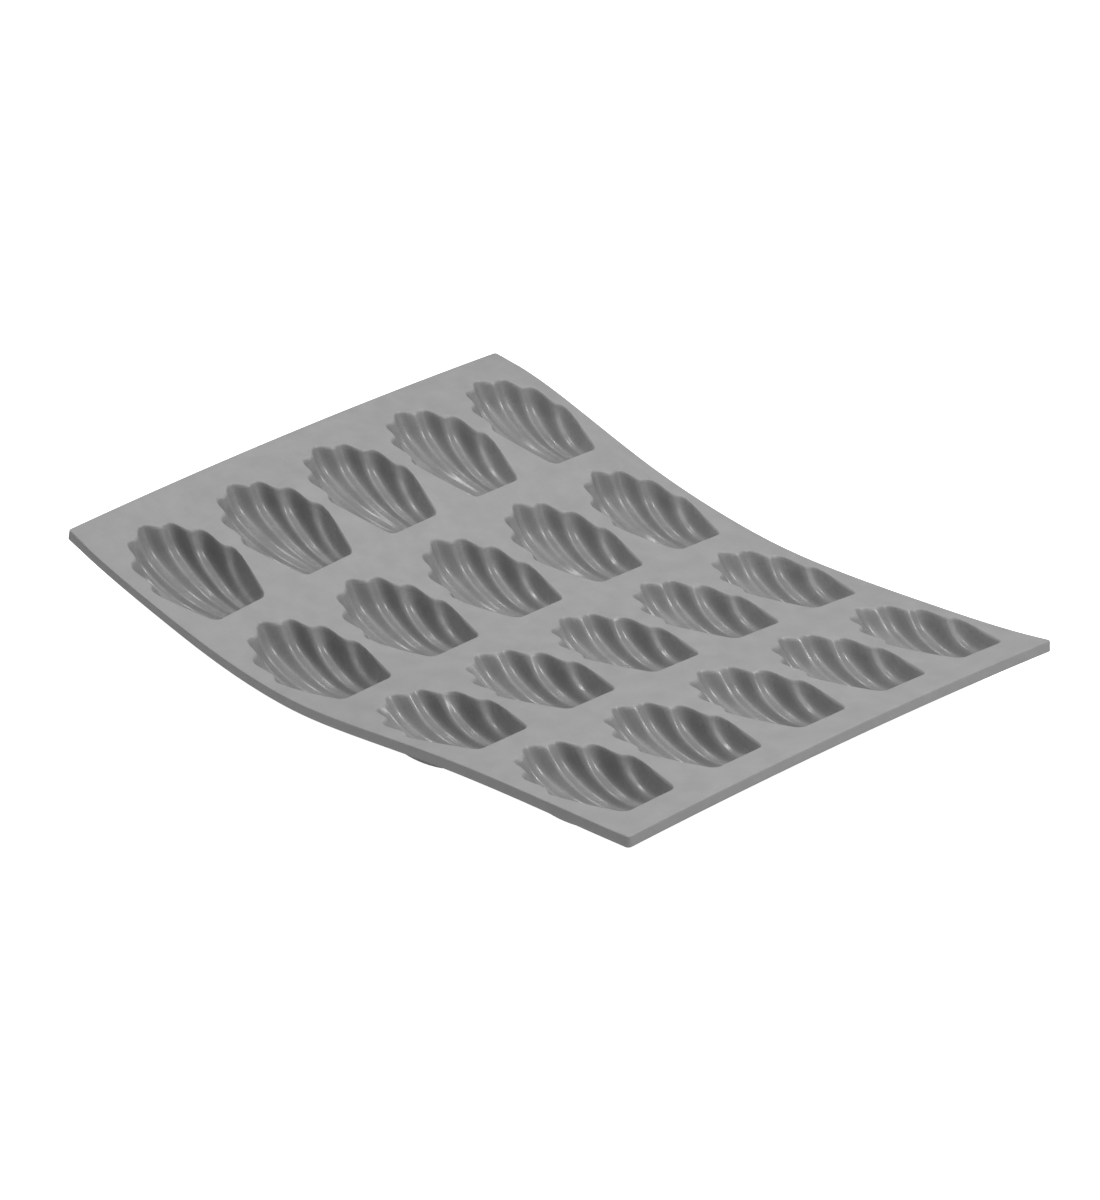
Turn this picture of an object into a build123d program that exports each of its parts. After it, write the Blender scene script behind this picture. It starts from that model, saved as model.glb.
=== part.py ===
from build123d import *
import math
import os

# Madeleine pan: one flexible moulding with four rows of five fluted shell cups
# Lengths are in millimetres and angles in degrees
# X runs along the sheet, Y across it and Z up, and each cup's tip points towards -X

# The sheet: a thin deck, stiffened all round by a deeper bead
sheet_length = 400
sheet_width = 300
deck_thickness = 3
bead_depth = 4.5
bead_width = 4.5
corner_radius = 3
arris_chamfer = 1

# The cups, and the deck that is left between them
row_count = 4
column_count = 5
row_gap = 14.5
column_gap = 7.2
cup_length = 80
cup_width = 51.5
base_width = 31
cup_depth = 18.5
cup_wall = 2.2
collar_land = 1.5
base_wall_run = 3
foot_flat = 0.6

# The strips of bare deck between the rows, where the sheet bends
web_length = 8

# The bow that the sheet lies in: each row's slope up towards +X and up towards +Y
row_slopes = (-11, -4.5, 6.5, 7.5)
row_tilts = (2.7, 1.1, -1.8, -2.4)
root_row = 1

# One half of a cup's flutes, from its middle line out to its side
# Even places are the troughs' middles, odd places are the ridges and last the side
end_along_shares = (1.0, 0.93, 0.91, 0.79, 0.72, 0.545, 0.45, 0.25)
end_across_shares = (0, 0.28, 0.53, 0.65, 0.88, 0.89, 1.0, 0.865)
flute_depth_shares = (1.0, 0.88, 0.97, 0.78, 0.84, 0.6, 0.45, 0)

# The cup's depth along its troughs and its ridges, from the foot of the base wall to the tip
station_shares = (0, 0.2, 0.42, 0.64, 0.82, 0.93, 1)
trough_depth_shares = (0.52, 0.84, 1, 0.96, 0.78, 0.48, 0)
ridge_depth_shares = (0.52, 0.84, 1, 0.89, 0.57, 0.2, 0)

# Straight stretches across one flute, and how near the deck's top an edge counts as the rim
flute_segments = 4
rim_share = 0.001

# What follows from the sizes above
last_place = len(end_along_shares) - 1
row_pitch = cup_length + row_gap
column_pitch = cup_width + column_gap
end_margin = (sheet_length - row_count * row_pitch + row_gap) / 2
foot_depth = cup_depth + cup_wall - foot_flat
cup_reach = cup_depth + cup_wall


def flute_point(place, number, grow, depth):
    """A point of a station on the fluted skin, grown outward; the base line lies on the Y axis."""
    side = -1 if place < 0 else 1
    half = abs(place)
    is_ridge = half % 2 == 1
    depth_share = ridge_depth_shares[number] if is_ridge else trough_depth_shares[number]
    full_length = cup_length + 2 * grow
    end_along = end_along_shares[half] * full_length
    end_across = side * end_across_shares[half] * (cup_width / 2 + grow)
    start_across = (base_width / 2 + grow) * place / last_place
    along = base_wall_run + (end_along - base_wall_run) * station_shares[number]
    across = start_across + (end_across - start_across) * along / end_along
    return Vector(grow - along, across, -depth * depth_share * flute_depth_shares[half])


def fluted_points(number, grow, depth):
    """A station's points: each flute is a parabola from ridge to ridge through its trough."""
    points = []
    for trough in range(1 - last_place, last_place, 2):
        ridge, middle, next_ridge = [flute_point(place, number, grow, depth)
                                     for place in (trough - 1, trough, trough + 1)]
        bulge = middle - (ridge + next_ridge) * 0.5
        for segment in range(flute_segments):
            share = segment / flute_segments
            points.append(ridge * (1 - share) + next_ridge * share + bulge * (4 * share * (1 - share)))
    return points + [next_ridge]


def base_points(grow):
    """The straight base line in the deck's top, with as many points as the flutes have."""
    half_base = base_width / 2 + grow
    count = last_place * flute_segments
    return [Vector(grow, half_base * (2 * number / count - 1), 0) for number in range(count + 1)]


def cup_outline(grow):
    """The scalloped outline in the deck's top."""
    base = base_points(grow)
    return Wire(Polyline(base[0], *fluted_points(-1, grow, 0), base[-1], close=True))


def scallop(grow, depth):
    """The closed solid under the deck's top that a fluted skin bounds."""
    rows = [base_points(grow)]
    rows += [fluted_points(number, grow, depth) for number in range(len(station_shares))]
    skin = Shell.make_loft([Wire(Polyline(*points)) for points in rows], ruled=True)
    rim_edges = [edge for edge in skin.edges() if edge.bounding_box().min.Z > -foot_flat * rim_share]
    lid = Face(Wire(rim_edges))
    return Solid(Shell(list(skin.faces()) + [lid]))


def collar():
    """The cup's rim as a prism through the deck, which the deck's window fits face to face."""
    return extrude(Face(cup_outline(collar_land)), amount=-deck_thickness, dir=(0, 0, 1))


def make_cup():
    """A fluted shell with a collar in the deck and a small flat foot under its crests."""
    reach = 2 * (cup_length + cup_width)
    below_deck = Pos(0, 0, -(deck_thickness + foot_depth) / 2) * Box(reach, reach, foot_depth - deck_thickness)
    shell = scallop(cup_wall, cup_reach) & below_deck
    return collar() + shell - scallop(0, cup_depth)


def cup_row_start(row):
    """Where a row's band of deck starts along the flat sheet."""
    return 0 if row == 0 else end_margin + row * row_pitch - row_gap / 2 + web_length / 2


def cup_row_end(row):
    """Where a row's band of deck ends along the flat sheet."""
    at_end = row == row_count - 1
    return sheet_length if at_end else end_margin + (row + 1) * row_pitch - row_gap / 2 - web_length / 2


def row_half_length(row):
    return (cup_row_end(row) - cup_row_start(row)) / 2


def base_line(row):
    """A row's base line along X, from the middle of its band."""
    middle = (cup_row_start(row) + cup_row_end(row)) / 2
    return end_margin + row * row_pitch + cup_length - middle


def column_across(column):
    return (column - (column_count - 1) / 2) * column_pitch


def make_deck(row):
    """A row's band of deck, with its share of the bead, and a window for each cup."""
    half = row_half_length(row)
    first, last = row == 0, row == row_count - 1
    blank = Box(2 * half, sheet_width, bead_depth, align=(Align.CENTER, Align.CENTER, Align.MAX))
    outer_ends = ([-half] if first else []) + ([half] if last else [])
    corners = [edge for edge in blank.edges().filter_by(Axis.Z) if edge.center().X in outer_ends]
    if corners:
        blank = fillet(corners, corner_radius)
    top = blank.faces().sort_by(Axis.Z)[-1]
    inner_ends = ([] if first else [-half]) + ([] if last else [half])
    arrises = [edge for edge in top.edges() if not any(math.isclose(edge.center().X, x) for x in inner_ends)]
    blank = chamfer(arrises, arris_chamfer)
    pocket_start = -half + (bead_width if first else 0)
    pocket_end = half - (bead_width if last else 0)
    pocket = Pos((pocket_start + pocket_end) / 2, 0, -(deck_thickness + bead_depth) / 2) * Box(
        pocket_end - pocket_start, sheet_width - 2 * bead_width, bead_depth - deck_thickness)
    deck = blank - pocket
    for column in range(column_count):
        deck -= Pos(base_line(row), column_across(column), 0) * collar()
    return deck


def strip_section(frame, along):
    """The sheet's section across a web, in a row's frame."""
    half, inner = sheet_width / 2, sheet_width / 2 - bead_width
    corners = [(half, -arris_chamfer), (half, -bead_depth), (inner, -bead_depth), (inner, -deck_thickness)]
    right = [(half - arris_chamfer, 0)] + corners
    section = right + [(-across, height) for across, height in reversed(right)]
    return Wire(Polyline(*[frame.from_local_coords((along, across, height)) for across, height in section],
                         close=True))


def row_direction(row):
    """The row's axes: x up its slope, z out of its deck."""
    slope, tilt = math.radians(row_slopes[row]), math.radians(row_tilts[row])
    along = Vector(math.cos(slope), 0, math.sin(slope))
    level_normal = Vector(-math.sin(slope), 0, math.cos(slope))
    normal = level_normal * math.cos(tilt) - Vector(0, 1, 0) * math.sin(tilt)
    return along, normal


def row_frame(row, middle):
    along, normal = row_direction(row)
    return Plane(origin=middle, x_dir=along, z_dir=normal)


def hinge_point(frame, row, side):
    """The middle of the web beside a row, half way through the deck."""
    return frame.from_local_coords((side * (row_half_length(row) + web_length / 2), 0, -deck_thickness / 2))


def row_frames():
    """Each row's frame, worked out from web to web both ways from the root row."""
    frames = {root_row: row_frame(root_row, (0, 0, 0))}
    for row in range(root_row + 1, row_count):
        joined = hinge_point(frames[row - 1], row - 1, 1)
        frames[row] = row_frame(row, joined - hinge_point(row_frame(row, (0, 0, 0)), row, -1))
    for row in range(root_row - 1, -1, -1):
        joined = hinge_point(frames[row + 1], row + 1, -1)
        frames[row] = row_frame(row, joined - hinge_point(row_frame(row, (0, 0, 0)), row, 1))
    return frames


def build():
    frames = row_frames()
    cup = make_cup()
    nodes = {}
    for row in range(row_count):
        frame = frames[row]
        nodes[f"deck_row_{row + 1}"] = frame.location * make_deck(row)
        for column in range(column_count):
            place = Pos(base_line(row), column_across(column), 0)
            nodes[f"cup_{row + 1}_{column + 1}"] = frame.location * place * cup
    hinges = []
    for row in range(row_count - 1):
        ends = (strip_section(frames[row], row_half_length(row)),
                strip_section(frames[row + 1], -row_half_length(row + 1)))
        nodes[f"web_{row + 1}_{row + 2}"] = Solid.make_loft(ends, ruled=True)
        hinges.append(hinge_point(frames[row], row, 1))
    return nodes, hinges


def main():
    nodes, hinges = build()
    # The origin is the middle of the underside of the whole part's box
    box = Compound(list(nodes.values())).bounding_box()
    shift = Vector(-box.center().X, -box.center().Y, -box.min.Z)
    os.makedirs("parts", exist_ok=True)
    for name, node in nodes.items():
        export_step(Pos(shift) * node, f"parts/{name}.step")
    for number, point in enumerate(hinges, start=1):
        print(f"web {number} bends about Y at", [round(value, 3) for value in tuple(point + shift)])


main()
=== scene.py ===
import math
import bmesh
import bpy
from mathutils import Matrix, Vector


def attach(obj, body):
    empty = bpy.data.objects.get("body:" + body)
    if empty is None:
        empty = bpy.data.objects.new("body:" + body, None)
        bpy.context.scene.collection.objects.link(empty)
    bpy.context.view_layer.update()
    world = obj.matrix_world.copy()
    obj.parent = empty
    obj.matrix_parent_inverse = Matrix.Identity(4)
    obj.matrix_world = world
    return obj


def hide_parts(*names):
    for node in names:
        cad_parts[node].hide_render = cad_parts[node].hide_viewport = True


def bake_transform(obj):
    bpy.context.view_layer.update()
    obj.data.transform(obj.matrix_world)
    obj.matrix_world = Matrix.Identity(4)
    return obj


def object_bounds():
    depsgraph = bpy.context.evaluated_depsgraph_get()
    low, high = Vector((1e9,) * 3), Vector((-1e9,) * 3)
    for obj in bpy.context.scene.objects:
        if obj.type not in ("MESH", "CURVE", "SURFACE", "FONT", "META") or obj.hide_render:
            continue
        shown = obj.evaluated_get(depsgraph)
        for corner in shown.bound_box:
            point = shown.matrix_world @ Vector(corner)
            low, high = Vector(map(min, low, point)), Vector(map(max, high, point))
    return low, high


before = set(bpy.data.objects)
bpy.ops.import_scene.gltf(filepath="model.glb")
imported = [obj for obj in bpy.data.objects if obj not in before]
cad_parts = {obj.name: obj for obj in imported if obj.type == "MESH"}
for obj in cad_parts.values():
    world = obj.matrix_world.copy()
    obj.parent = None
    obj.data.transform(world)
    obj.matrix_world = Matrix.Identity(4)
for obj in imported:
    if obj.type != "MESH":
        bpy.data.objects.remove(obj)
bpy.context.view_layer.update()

# The camera stands off the sheet's near right side and looks down on it at about thirty degrees
# Its long lens keeps the sheet's edges almost parallel, and the sheet is in the middle of the picture
eye = Vector((1.0787, -1.1248, 0.8880))
look = Vector((-0.60665, 0.63199, -0.48226))
upward = Vector((-0.37014, 0.31233, 0.8749))
camera = bpy.data.objects.new("camera", bpy.data.cameras.new("camera"))
camera.data.lens = 106.5
camera.data.sensor_width = 36
rightward = look.cross(upward).normalized()
camera_axes = Matrix((rightward, rightward.cross(look), -look)).transposed()
camera.matrix_world = Matrix.Translation(eye) @ camera_axes.to_4x4()
bpy.context.scene.collection.objects.link(camera)
bpy.context.scene.camera = camera
bpy.context.scene.view_settings.view_transform = "Standard"

# The cups are twenty fluted shells, moulded in one with the sheet: seven flutes fan out from a
# straight base to a scalloped tip. They are grey silicone rubber, and the mould's polished cores
# leave their cavities glossier than the deck round them. The cavities' grey is also set darker,
# as painted shade in the hollows.
row_count, column_count, middle_column = 4, 5, 3
sheet_length, sheet_width, deck_thickness = 0.400, 0.300, 0.003
cup_length, cup_width, base_width, cup_depth = 0.080, 0.0515, 0.031, 0.0185
cup_wall, foot_depth, collar_land = 0.0016, 0.0196, 0.0015
row_pitch, column_pitch, first_base_line = 0.0945, 0.0587, 0.09825
# One half of a cup's flutes: the even places are troughs, the odd ones ridges, and the last the side
flute_ends_along = (1.0, 0.93, 0.91, 0.79, 0.72, 0.545, 0.45, 0.25)
flute_ends_across = (0, 0.28, 0.53, 0.65, 0.88, 0.89, 1.0, 0.865)
flute_depths = (1.0, 0.9, 0.98, 0.81, 0.85, 0.64, 0.48, 0)
side_place = 7
ridge_softness, lobe_fullness, side_crowding = 0.34, 2.0, 1.7
# How a flute runs along and down, from the base's rim to the tip's
run_places = (0, 0.05, 0.11, 0.19, 0.34, 0.52, 0.69, 0.83, 0.93, 1)
run_along = (0, 0.007, 0.032, 0.1, 0.23, 0.442, 0.653, 0.827, 0.933, 1)
trough_depths = (0, 0.26, 0.5, 0.69, 0.85, 1, 0.95, 0.74, 0.42, 0)
ridge_depths = (0, 0.26, 0.5, 0.69, 0.87, 1, 0.93, 0.69, 0.35, 0)
# The rim flares out and is softly rounded, most of all where a ridge runs into it
rim_radius, ridge_rim_radius, rim_flare, flare_depth = 0.0014, 0.0034, 0.001, 0.006
base_corner = 0.0035
# Each ring round the cavity: how far outward it lies, and its height
rim_rings = ((collar_land, 0), (collar_land, -deck_thickness))
grid_across, grid_along = 56, 36
# The sheet's bow: the slopes of its two long edges in degrees, at even steps from the first row's end
near_slopes = (-16.0, -10.6, -7.4, -1.1, 8.5, 10.2, 7.6, 6.0, 6.7)
far_slopes = (-1.6, -12.3, -13.4, -8.3, -3.1, 3.8, 6.3, 7.5, 12.3)
near_start, far_start = Vector((-0.1979, 0, 0.0407)), Vector((-0.1969, 0, 0.0515))
course_steps = 400
# The sheet is a little higher in its middle than at its long edges, and most of all in its first row
crown, first_row_crown, first_row_reach = 0.0032, 0.004, 0.13
# The mould's polish sets in just below the rim, and with it a darker grey painted there as the cavities' shade
polish_and_shade_start, polish_and_shade_run = 0.0002, 0.001
# Each finish: its lightest and darkest grey, and how rough it is where smoothest and roughest.
# The polished greys are set darker than the satin ones as painted shade in the cavities.
satin_finish = ("#9d9d9d", "#959595", 0.46, 0.56)
polished_and_shaded_finish = ("#8b8b8b", "#808080", 0.22, 0.3)
# Pigment clouds about 12 mm across and specks about 1 mm, and the mould's satin grain, which is
# about 0.3 mm and is drawn at 0.6 mm so that it shows: each in repeats per metre
cloud_scale, speck_scale, grain_scale = 80, 900, 1600
# Places nearer than this are one, and edges sharper than these angles in radians stay sharp
merge_distance, cup_sharp_angle, sheet_sharp_angle = 1e-6, 1.2, 0.7


def near(value, place):
    return abs(value - place) < merge_distance


def eased(places, values, at):
    """A smooth curve through values that stand at uneven places."""
    last = len(places) - 1
    steepness = []
    for n in range(last + 1):
        before, after = max(n - 1, 0), min(n + 1, last)
        steepness.append((values[after] - values[before]) / (places[after] - places[before]))
    n = max((k for k in range(last) if places[k] <= at), default=0)
    width = places[n + 1] - places[n]
    x = (at - places[n]) / width
    return (values[n] * (1 + 2 * x) * (1 - x) ** 2 + steepness[n] * width * x * (1 - x) ** 2
            + values[n + 1] * x * x * (3 - 2 * x) + steepness[n + 1] * width * x * x * (x - 1))


def flute_spot(place, row, grow, depth):
    """A point on a trough's middle, a ridge or the side, with the skin grown outward by grow."""
    side = -1 if place < 0 else 1
    half = abs(place)
    along_share, depth_share = run_table[row][0], run_table[row][1 + half % 2]
    end_along = flute_ends_along[half] * (cup_length + 2 * grow)
    end_across = side * flute_ends_across[half] * (cup_width / 2 + grow)
    start_across = (base_width / 2 + grow) * place / side_place
    return Vector((grow - end_along * along_share, start_across + (end_across - start_across) * along_share,
                   -depth * depth_share * flute_depths[half]))


def grid_place(vertex):
    """A grid vertex's place across the flutes, closer together at the sides, and its row from the base."""
    place = vertex.co.x * side_place
    beyond = max(abs(place) - (side_place - 1), 0)
    crowded = abs(place) - beyond + 1 - (1 - beyond) ** side_crowding
    return math.copysign(crowded, place), round((vertex.co.y + 1) / 2 * grid_along)


def skin_spot(across, row, grow, depth):
    """A point of the fluted skin, at a place across the flutes and a row from the base to the tip."""
    trough = min(max(2 * round(across / 2), 1 - side_place), side_place - 1)
    share = (across - trough + 1) / 2
    ridge, middle, next_ridge = (flute_spot(place, row, grow, depth)
                                 for place in (trough - 1, trough, trough + 1))
    from_ridge = 1 - abs(2 * share - 1)
    soft = math.hypot(from_ridge, ridge_softness) - ridge_softness
    soft /= math.hypot(1, ridge_softness) - ridge_softness
    bulge = middle - (ridge + next_ridge) / 2
    return ridge.lerp(next_ridge, share) + bulge * (1 - (1 - soft) ** lobe_fullness)


def cavity_spot(across, row):
    """A point of a cavity's skin, which turns over into the deck's top at its rim."""
    ridge_share = abs((across + 1) / 2 % 1 - 0.5) * 2 if abs(across) < side_place - 1 else 0
    ridge_extra = (ridge_rim_radius - rim_radius) * max(2 * ridge_share - 1, 0)
    rounding = rim_radius + ridge_extra * run_table[row][0]
    sunk = math.sqrt((cup_depth + rounding) ** 2 - rounding ** 2)
    flare = rim_flare * max(1 + skin_spot(across, row, 0, sunk).z / flare_depth, 0)
    spot = skin_spot(across, row, flare, sunk)
    spot.z = rounding - math.hypot(spot.z, rounding)
    # The base's two corners are rounded in plan
    side = skin_spot(math.copysign(side_place, across), row, flare, sunk)
    inward = 1 - (flare - spot.x) / base_corner, 1 - (abs(side.y) - abs(spot.y)) / base_corner
    if min(inward) > 0:
        u, v = inward
        spot.x = flare - base_corner * (1 - u * math.sqrt(1 - v * v / 2))
        spot.y = math.copysign(abs(side.y) - base_corner * (1 - v * math.sqrt(1 - u * u / 2)), spot.y)
    return spot


def vertices_in(made):
    return [item for item in made if isinstance(item, bmesh.types.BMVert)]


def flute_grid(rings):
    """A grid in flute numbers with rings extruded round its border: z counts the rings."""
    grid = bmesh.new()
    bmesh.ops.create_grid(grid, x_segments=grid_across, y_segments=grid_along, size=1)
    for ring in range(rings):
        border = [edge for edge in grid.edges if edge.is_boundary]
        grown = bmesh.ops.extrude_edge_only(grid, edges=border)["geom"]
        bmesh.ops.translate(grid, verts=vertices_in(grown), vec=(0, 0, 1))
    return grid


def add_copy(target, source, shift):
    """Adds a shifted copy of one mesh under construction to another."""
    carrier = bpy.data.meshes.new("carrier")
    source.to_mesh(carrier)
    carrier.transform(Matrix.Translation(shift))
    target.from_mesh(carrier)
    bpy.data.meshes.remove(carrier)


def edge_course(slopes, start):
    """Where a long edge of the sheet runs: its place and slope at every millimetre."""
    places = [n / (len(slopes) - 1) for n in range(len(slopes))]
    course, spot = [], start.copy()
    for n in range(course_steps + 1):
        slope = math.radians(eased(places, slopes, n / course_steps))
        course.append((spot.copy(), slope))
        spot += Vector((math.cos(slope), 0, math.sin(slope))) * sheet_length / course_steps
    return course


def on_course(course, step):
    """The place and slope that a course has between two of its steps."""
    n = min(int(step), course_steps - 1)
    (spot, slope), (next_spot, next_slope) = course[n], course[n + 1]
    return spot.lerp(next_spot, step - n), slope + (next_slope - slope) * (step - n)


def bowed(flat):
    """Where a point of the flat sheet comes to lie in the bowed and slightly twisted one."""
    step = min(max(flat.x / sheet_length, 0), 1) * course_steps
    near_spot, near_slope = on_course(near_course, step)
    far_spot, far_slope = on_course(far_course, step)
    across = flat.y / (sheet_width / 2)
    share = (across + 1) / 2
    spot = near_spot.lerp(far_spot, share)
    slope = near_slope + (far_slope - near_slope) * share
    arch = crown + first_row_crown * math.sin(math.pi * min(max(flat.x / first_row_reach, 0), 1)) ** 2
    rise = (far_spot.z - near_spot.z) / sheet_width - 2 * arch * across / (sheet_width / 2)
    along = Vector((math.cos(slope), 0, math.sin(slope)))
    outward = along.cross(Vector((0, 1, rise))).normalized()
    return Vector((spot.x, flat.y, spot.z + arch * (1 - across * across))) + outward * flat.z


def linear(shade):
    """A hex colour as the linear values that a shader works in."""
    parts = [int(shade[n:n + 2], 16) / 255 for n in (1, 3, 5)]
    return [part / 12.92 if part <= 0.04045 else ((part + 0.055) / 1.055) ** 2.4 for part in parts] + [1]


def add_node(material, kind, settings=(), links=()):
    """Adds a shader node, sets its properties and sockets, and joins what feeds it."""
    made = material.node_tree.nodes.new(kind)
    for name, value in dict(settings).items():
        if isinstance(name, str) and hasattr(made, name):
            setattr(made, name, value)
        else:
            made.inputs[name].default_value = value
    for socket, source in dict(links).items():
        material.node_tree.links.new(source, made.inputs[socket])
    return made


def moulded_silicone(name, finishes):
    """Pigmented silicone rubber from a steel mould: satin on its flats, polished and painted darker as shade
    in its cavities.
    """
    material = bpy.data.materials.new(name)
    material.use_nodes = True
    material.node_tree.nodes.clear()
    place = add_node(material, "ShaderNodeTexCoord").outputs["Object"]
    polished_and_shaded = add_node(material, "ShaderNodeAttribute", {"attribute_name": "polish_and_shade"}).outputs["Fac"]
    clouds = add_node(material, "ShaderNodeTexNoise", {"Scale": cloud_scale, "Detail": 3, "Roughness": 0.6},
                      {"Vector": place})
    specks = add_node(material, "ShaderNodeTexNoise", {"Scale": speck_scale, "Detail": 2, "Roughness": 0.5},
                      {"Vector": place})
    mixed = add_node(material, "ShaderNodeMath", {"operation": "MULTIPLY_ADD", 1: 0.35},
                     {0: specks.outputs["Fac"], 2: clouds.outputs["Fac"]})
    shade = add_node(material, "ShaderNodeMapRange", {"From Min": 0.45, "From Max": 0.9},
                     {"Value": mixed.outputs[0]})
    colours, glosses = [], []
    for light_grey, dark_grey, smoothest, roughest in finishes:
        greys = {"data_type": "RGBA", 6: linear(dark_grey), 7: linear(light_grey)}
        colours.append(add_node(material, "ShaderNodeMix", greys, {0: shade.outputs["Result"]}).outputs[2])
        glosses.append(add_node(material, "ShaderNodeMapRange",
                                {"From Min": 0.3, "From Max": 0.7, "To Min": smoothest, "To Max": roughest},
                                {"Value": clouds.outputs["Fac"]}).outputs["Result"])
    # In the cavities the grey turns darker: painted shade, while the roughness below follows the real polish
    colour = add_node(material, "ShaderNodeMix", {"data_type": "RGBA"},
                      {0: polished_and_shaded, 6: colours[0], 7: colours[1]})
    gloss = add_node(material, "ShaderNodeMix", {"data_type": "FLOAT"},
                     {0: polished_and_shaded, 2: glosses[0], 3: glosses[1]})
    grain = add_node(material, "ShaderNodeTexNoise", {"Scale": grain_scale, "Detail": 2, "Roughness": 0.5},
                     {"Vector": place})
    coarseness = add_node(material, "ShaderNodeMapRange", {"To Min": 0.5, "To Max": 0.15}, {"Value": polished_and_shaded})
    relief = add_node(material, "ShaderNodeBump", {"Distance": 0.00003},
                      {"Height": grain.outputs["Fac"], "Strength": coarseness.outputs["Result"]})
    surface = add_node(material, "ShaderNodeBsdfPrincipled", {"IOR": 1.41, "Specular IOR Level": 0.5},
                       {"Base Color": colour.outputs[2], "Roughness": gloss.outputs[0],
                        "Normal": relief.outputs["Normal"]})
    add_node(material, "ShaderNodeOutputMaterial", {}, {"Surface": surface.outputs["BSDF"]})
    return material


def finished(solid, name, material, sharp_angle):
    """Bows a closed mesh under construction and makes it a smooth-shaded piece."""
    bmesh.ops.recalc_face_normals(solid, faces=solid.faces)
    for face in solid.faces:
        face.smooth = True
    for edge in solid.edges:
        edge.smooth = edge.calc_face_angle(0) < sharp_angle
    for vertex in solid.verts:
        vertex.co = bowed(vertex.co)
    mesh = bpy.data.meshes.new(name)
    solid.to_mesh(mesh)
    solid.free()
    mesh.materials.append(material)
    piece = bpy.data.objects.new(name, mesh)
    bpy.context.scene.collection.objects.link(piece)
    return piece


near_course, far_course = edge_course(near_slopes, near_start), edge_course(far_slopes, far_start)
# The rows of the grid crowd together at the base and the tip, where the rim turns over
rows_run = [(1 - math.cos(math.pi * n / grid_along)) / 2 for n in range(grid_along + 1)]
run_table = [[eased(run_places, values, run) for values in (run_along, trough_depths, ridge_depths)]
             for run in rows_run]
cup = flute_grid(len(rim_rings))
polish_and_shade = cup.verts.layers.float.new("polish_and_shade")
for vertex in cup.verts:
    ring = round(vertex.co.z)
    if ring:
        grow, height = rim_rings[ring - 1]
        spot = skin_spot(*grid_place(vertex), grow, 0)
        spot.z = height
    else:
        spot = cavity_spot(*grid_place(vertex))
        # Below the rim the cavity takes the polish, and the darker grey painted there as shade
        vertex[polish_and_shade] = min(max(-spot.z - polish_and_shade_start, 0) / polish_and_shade_run, 1)
    vertex.co = spot
underside = flute_grid(0)
for vertex in underside.verts:
    grow = collar_land if vertex.is_boundary else cup_wall
    spot = skin_spot(*grid_place(vertex), grow, cup_depth + cup_wall)
    spot.z = -deck_thickness if vertex.is_boundary else -min(max(-spot.z, deck_thickness), foot_depth)
    vertex.co = spot
add_copy(cup, underside, (0, 0, 0))
underside.free()
bmesh.ops.remove_doubles(cup, verts=cup.verts, dist=merge_distance)
silicone = moulded_silicone("moulded_silicone", (satin_finish, polished_and_shaded_finish))
for row in range(1, row_count + 1):
    for column in range(1, column_count + 1):
        shell = bmesh.new()
        base_line = first_base_line + (row - 1) * row_pitch
        add_copy(shell, cup, (base_line, (column - middle_column) * column_pitch, 0))
        piece = finished(shell, f"fluted_cup_{row}_{column}", silicone, cup_sharp_angle)
        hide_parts(f"cup_{row}_{column}")
        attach(piece, f"row_{row}")
cup.free()

# The decks are the four bands of flat sheet that hold the rows of cups, with a deeper bead all
# round that stiffens the sheet. They are the same silicone in one moulding, with a satin top and
# a softly rounded outer edge.
bead_depth, bead_width, corner_radius, edge_round = 0.0055, 0.0045, 0.002, 0.0006
corner_segments, edge_segments = 5, 4
# Each cup has a rectangle of deck round it, joined to its rim by rings of faces
cell_margin, land_rings = 0.00325, 3
inner_half = column_count * column_pitch / 2
# Where round the rim the rectangle's corners are: a share across the tip, and one along the side
tip_share, flank_share = 0.5, 0.22
# The outer sides, ring by ring: the share of the way out, how far in from the outline, and the height
side_rings = ((0.35, 0, 0), (0.7, 0, 0), (1, 0, 0), (1, 0, -bead_depth),
              (1, bead_width, -bead_depth), (1, bead_width, -deck_thickness))
# How near the outline an edge counts as the sheet's outer one, and how upright and sideways a side is
outline_reach, end_reach, upright_tilt, sideways_tilt = 0.004, 0.001, 0.1, 0.2


def cell_edge(across, run):
    """Where a spot of the cup's rim points to on the rectangle of deck round the cup."""
    half = column_pitch / 2
    start, reach = cell_margin, cup_length + 2 * cell_margin
    if run == 0:
        return Vector((start, across * half, 0))
    if run == 1 and abs(across) < tip_share:
        return Vector((start - reach, across / tip_share * half, 0))
    flank = flank_share * run
    if run == 1:
        flank = flank_share + (1 - flank_share) * (1 - abs(across)) / (1 - tip_share)
    return Vector((start - reach * flank, math.copysign(half, across), 0))


def outward_place(spot, share_out, inset, end_line, outer_end):
    """Where a spot on the rectangles' border goes in plan, on its way out to the sheet's outline."""
    x, y = spot.x, spot.y
    if near(abs(y), inner_half):
        y = math.copysign(inner_half + (sheet_width / 2 - inset - inner_half) * share_out, y)
    if outer_end is not None and near(x, end_line):
        inward = inset if outer_end == 0 else -inset
        x = end_line + (outer_end + inward - end_line) * share_out
    return x, y


def add_outer_sides(band, end_line, outer_end):
    """Extrudes a band's border out over the margin and round the bead, ring by ring."""
    def on_border(v):
        return near(abs(v.co.y), inner_half) or (end_line is not None and near(v.co.x, end_line))
    chain = [edge for edge in band.edges if edge.is_boundary and all(on_border(v) for v in edge.verts)]
    starts = {v: v.co.copy() for edge in chain for v in edge.verts}
    for share_out, inset, height in side_rings:
        before = {v.co.copy().freeze(): start for v, start in starts.items()}
        grown = bmesh.ops.extrude_edge_only(band, edges=chain)["geom"]
        starts = {v: before[v.co.copy().freeze()] for v in vertices_in(grown)}
        chain = [item for item in grown if isinstance(item, bmesh.types.BMEdge) and item.is_boundary
                 and all(v in starts for v in item.verts)]
        for v, start in starts.items():
            v.co = (*outward_place(start, share_out, inset, end_line, outer_end), height)


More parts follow.
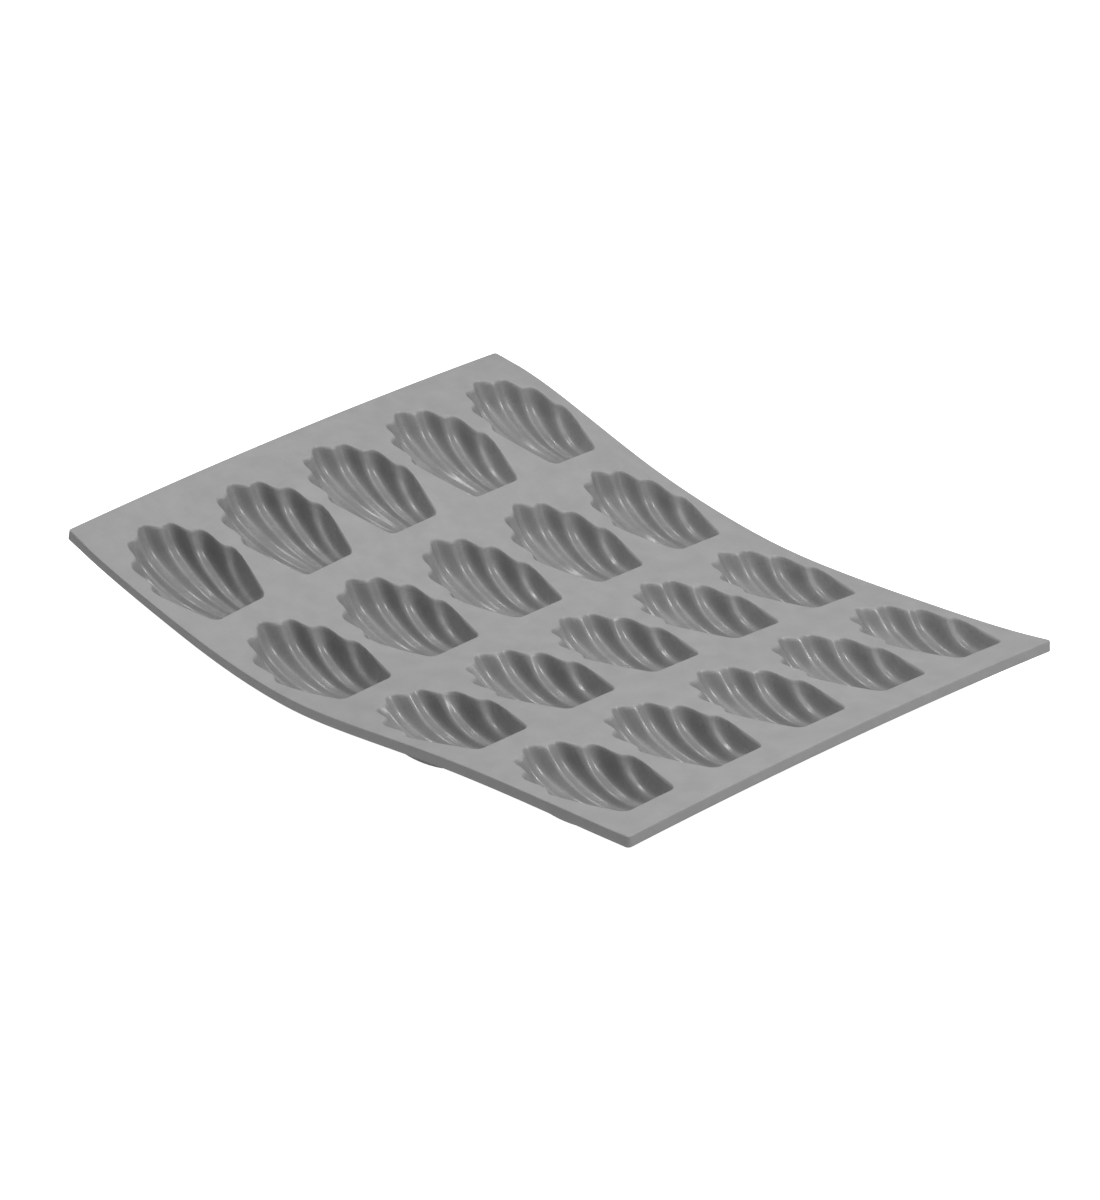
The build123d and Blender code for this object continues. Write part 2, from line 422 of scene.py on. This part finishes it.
def is_outer_arris(edge, outer_end):
    """Whether an edge lies between the sheet's top and one of its outer sides."""
    to_end = [sheet_length if outer_end is None else abs(v.co.x - outer_end) for v in edge.verts]
    to_side = sheet_width / 2 - max(abs(v.co.y) for v in edge.verts)
    at_outline = to_side < outline_reach or min(to_end) < end_reach
    at_top = all(near(v.co.z, 0) for v in edge.verts)
    return at_top and at_outline and edge.calc_face_angle(0) > cup_sharp_angle and any(
        abs(face.normal.z) < upright_tilt
        and (abs(face.normal.y) > sideways_tilt or to_end[0] < outline_reach)
        for face in edge.link_faces)


def round_edges(solid, edges, radius, segments):
    bmesh.ops.bevel(solid, geom=edges, offset=radius, segments=segments, profile=0.5, affect="EDGES",
                    material=-1)


def close_up(solid):
    """Merges a mesh's doubles, fills what is still open and turns its faces outward."""
    bmesh.ops.remove_doubles(solid, verts=solid.verts, dist=merge_distance)
    bmesh.ops.holes_fill(solid, edges=[edge for edge in solid.edges if edge.is_boundary], sides=0)
    bmesh.ops.recalc_face_normals(solid, faces=solid.faces)


land = flute_grid(land_rings + 1)
bmesh.ops.delete(land, geom=[v for v in land.verts if round(v.co.z) == 0], context="VERTS")
for vertex in land.verts:
    place, row = grid_place(vertex)
    share = (round(vertex.co.z) - 1) / land_rings
    rim = skin_spot(place, row, collar_land, 0)
    vertex.co = rim.lerp(cell_edge(round(place / side_place, 6), round(rows_run[row], 6)), share)
for row in range(1, row_count + 1):
    base_line = first_base_line + (row - 1) * row_pitch
    tip_side, base_side = base_line - cup_length - cell_margin, base_line + cell_margin
    outer_end = {1: 0, row_count: sheet_length}.get(row)
    end_line = {1: tip_side, row_count: base_side}.get(row)
    band = bmesh.new()
    for column in range(1, column_count + 1):
        add_copy(band, land, (base_line, (column - middle_column) * column_pitch, 0))
    bmesh.ops.remove_doubles(band, verts=band.verts, dist=merge_distance)
    below = band.copy()
    add_outer_sides(band, end_line, outer_end)
    for v in below.verts:
        if v.is_boundary:
            v.co.x, v.co.y = outward_place(v.co, 1, bead_width, end_line, outer_end)
        v.co.z = -deck_thickness
    windows = [edge for edge in band.edges if edge.is_boundary and near(edge.verts[0].co.z, 0)
               and tip_side + merge_distance < edge.verts[0].co.x < base_side - merge_distance
               and abs(edge.verts[0].co.y) < inner_half - merge_distance]
    walls = bmesh.ops.extrude_edge_only(band, edges=windows)["geom"]
    bmesh.ops.translate(band, verts=vertices_in(walls), vec=(0, 0, -deck_thickness))
    add_copy(band, below, (0, 0, 0))
    below.free()
    close_up(band)
    if outer_end is not None:
        corners = [edge for edge in band.edges if all(near(abs(v.co.y), sheet_width / 2)
                                                      and near(v.co.x, outer_end) for v in edge.verts)]
        round_edges(band, corners, corner_radius, corner_segments)
    arris = [edge for edge in band.edges if is_outer_arris(edge, outer_end)]
    round_edges(band, arris, edge_round, edge_segments)
    piece = finished(band, f"deck_band_{row}", silicone, sheet_sharp_angle)
    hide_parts(f"deck_row_{row}")
    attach(piece, f"row_{row}")
land.free()

# The webs are the three strips of bare sheet between the bands. The sheet bends in them when it
# is rolled up, or pushed up from below to turn the cakes out.
web_length, web_steps, web_across = 0.008, 8, 70
pocket_half = sheet_width / 2 - bead_width
# The strip's outer sides, ring by ring round the bead: how far across, and the height
bead_rings = ((sheet_width / 2, 0), (sheet_width / 2, -bead_depth),
              (pocket_half, -bead_depth), (pocket_half, -deck_thickness))
for row in range(1, row_count):
    web_start = first_base_line + (row - 1) * row_pitch + cell_margin
    strip = bmesh.new()
    for half_across, height in ((inner_half, 0), (pocket_half, -deck_thickness)):
        bmesh.ops.create_grid(strip, x_segments=web_steps, y_segments=web_across, size=0.5,
                              matrix=Matrix.Translation((web_start + web_length / 2, 0, height))
                              @ Matrix.Diagonal((web_length, 2 * half_across, 1, 1)))
    for side in (-1, 1):
        chain = [edge for edge in strip.edges if all(near(v.co.y, side * inner_half) for v in edge.verts)]
        for across, height in bead_rings:
            grown = bmesh.ops.extrude_edge_only(strip, edges=chain)["geom"]
            fresh = set(vertices_in(grown))
            chain = [item for item in grown if isinstance(item, bmesh.types.BMEdge)
                     and all(v in fresh for v in item.verts)]
            for v in fresh:
                v.co.y, v.co.z = side * across, height
    close_up(strip)
    arris = [edge for edge in strip.edges
             if all(near(v.co.z, 0) and near(abs(v.co.y), sheet_width / 2) for v in edge.verts)]
    round_edges(strip, arris, edge_round, edge_segments)
    piece = finished(strip, f"web_strip_{row}_{row + 1}", silicone, sheet_sharp_angle)
    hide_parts(f"web_{row}_{row + 1}")
    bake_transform(piece)

# The floor is a pale sheet that shows white to the camera and keeps the mould's soft shadow
floor_size, floor_white = 6.0, "#e8e8e8"
floor_bmesh = bmesh.new()
bmesh.ops.create_grid(floor_bmesh, x_segments=1, y_segments=1, size=floor_size / 2)
floor_mesh = bpy.data.meshes.new("floor")
floor_bmesh.to_mesh(floor_mesh)
floor_bmesh.free()
floor_mesh.transform(Matrix.Translation((0, 0, min(0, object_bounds()[0].z))))
floor = bpy.data.objects.new("floor", floor_mesh)
bpy.context.scene.collection.objects.link(floor)
paper = bpy.data.materials.new("white_paper")
paper.use_nodes = True
paper.node_tree.nodes.clear()
ray = add_node(paper, "ShaderNodeLightPath")
matte = add_node(paper, "ShaderNodeBsdfDiffuse", {"Color": linear(floor_white)})
glow = add_node(paper, "ShaderNodeEmission", {"Color": (1, 1, 1, 1)},
                {"Strength": ray.outputs["Is Camera Ray"]})
lit = add_node(paper, "ShaderNodeAddShader", {}, {0: matte.outputs[0], 1: glow.outputs[0]})
add_node(paper, "ShaderNodeOutputMaterial", {}, {"Surface": lit.outputs[0]})
floor_mesh.materials.append(paper)

# The studio: a dim white room that shows white to the camera, with one broad lamp close above the
# sheet, small softboxes on the right and left that draw the streaks of gloss, and a weak one low down
room_strength = 0.25
# Each lamp: its name, its place, and its size and power
lamps = (("key_softbox", (0.45, 0.24, 1.09), 0.25, 5), ("left_softbox", (-0.75, 0.06, 1.03), 0.2, 2.9),
         ("ceiling", (0.05, 0, 0.7), 0.6, 2.15), ("right_softbox", (1.8, 0.3, 0.7), 1.0, 3.5))
world = bpy.data.worlds.new("studio")
bpy.context.scene.world = world
world.use_nodes = True
world.node_tree.nodes.clear()
ray = add_node(world, "ShaderNodeLightPath")
strength = add_node(world, "ShaderNodeMapRange", {"To Min": room_strength, "To Max": 1.0},
                    {"Value": ray.outputs["Is Camera Ray"]})
room = add_node(world, "ShaderNodeBackground", {"Color": (1, 1, 1, 1)},
                {"Strength": strength.outputs["Result"]})
add_node(world, "ShaderNodeOutputWorld", {}, {"Surface": room.outputs[0]})
for name, spot, size, power in lamps:
    lamp = bpy.data.objects.new(name, bpy.data.lights.new(name, "AREA"))
    lamp.data.size, lamp.data.energy = size, power
    turned = (-Vector(spot)).to_track_quat("-Z", "Y").to_matrix().to_4x4()
    lamp.matrix_world = Matrix.Translation(spot) @ turned
    bpy.context.scene.collection.objects.link(lamp)
